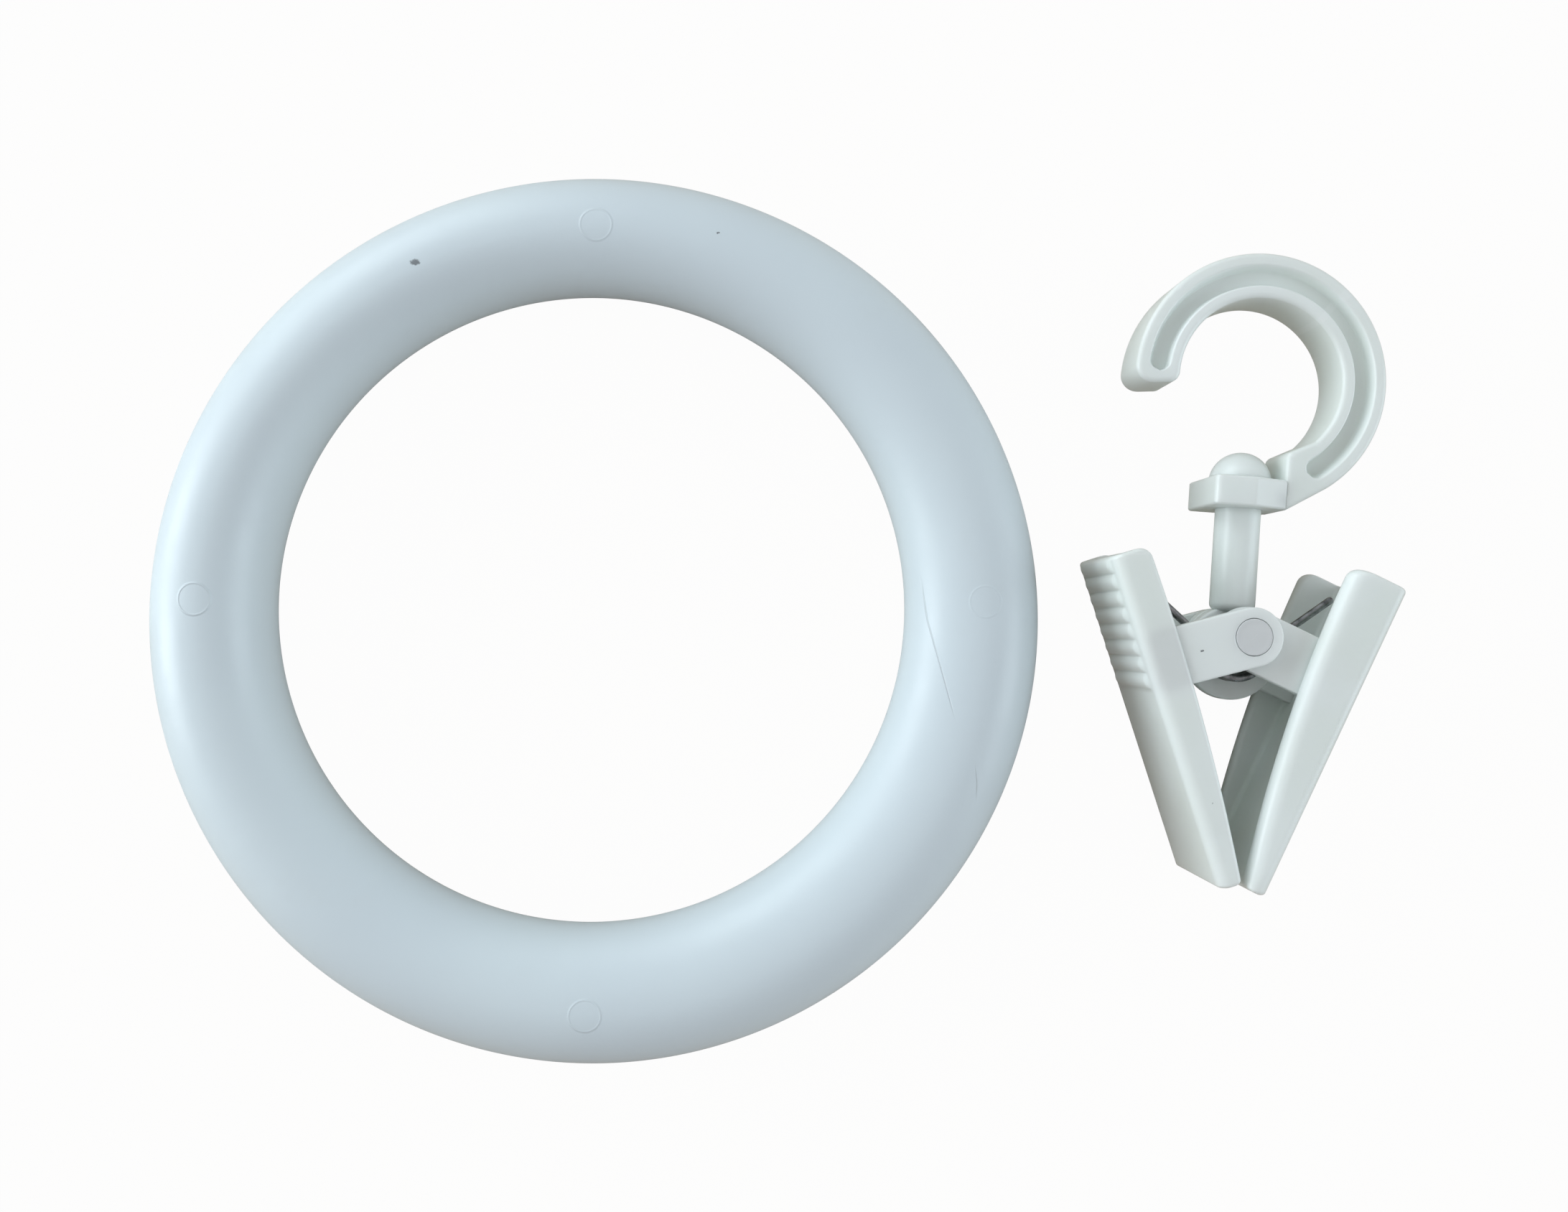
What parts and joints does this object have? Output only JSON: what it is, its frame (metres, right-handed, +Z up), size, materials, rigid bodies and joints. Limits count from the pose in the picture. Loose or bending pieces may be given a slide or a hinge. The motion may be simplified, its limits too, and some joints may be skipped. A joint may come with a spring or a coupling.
{
  "type": "curtain ring with clip",
  "caption": "Round curtain ring lying beside its clip: an open hook, a swivelling domed stem and a spring clip with two ribbed channel jaws.",
  "frame": {"origin": "centre of the ring's outline on the surface that the parts lie on", "axes": "+Z up from the surface, along the ring's hole; +X from the ring towards the clip; +Y from the clip's jaws towards its hook"},
  "size_m": [0.0977, 0.07, 0.0112],
  "materials": {
    "ring_white": "satin",
    "clip_white": "semi-gloss, slightly translucent",
    "pin_white": "semi-gloss",
    "spring_steel": "drawn wire"
  },
  "bodies": {
    "ring_and_hook": {"curtain_ring": "ring_white", "hook": "clip_white"},
    "stem": {"swivel_stem": "clip_white"},
    "jaw_left": {"left_jaw": "clip_white", "pivot_pin": "pin_white", "torsion_spring": "spring_steel"},
    "jaw_right": {"right_jaw": "clip_white"}
  },
  "joints": [
    {"name": "swivel", "type": "hinge", "parent": "ring_and_hook", "child": "stem", "pos_m": [0.05126, 0.00878, 0.0056], "axis": [0.0698, 0.9976, 0], "continuous": true},
    {"name": "tilt", "type": "hinge", "parent": "stem", "child": "jaw_left", "pos_m": [0.05055, -0.00144, 0.0056], "axis": [0, 0, 1], "range_deg": [-10, 10]},
    {"name": "open", "type": "hinge", "parent": "jaw_left", "child": "jaw_right", "pos_m": [0.05055, -0.00144, 0.0056], "axis": [0, 0, 1], "range_deg": [0, 28], "stiffness_Nm_per_rad": 0.02, "springref_deg": -8.59, "deforming": ["torsion_spring"]}
  ]
}
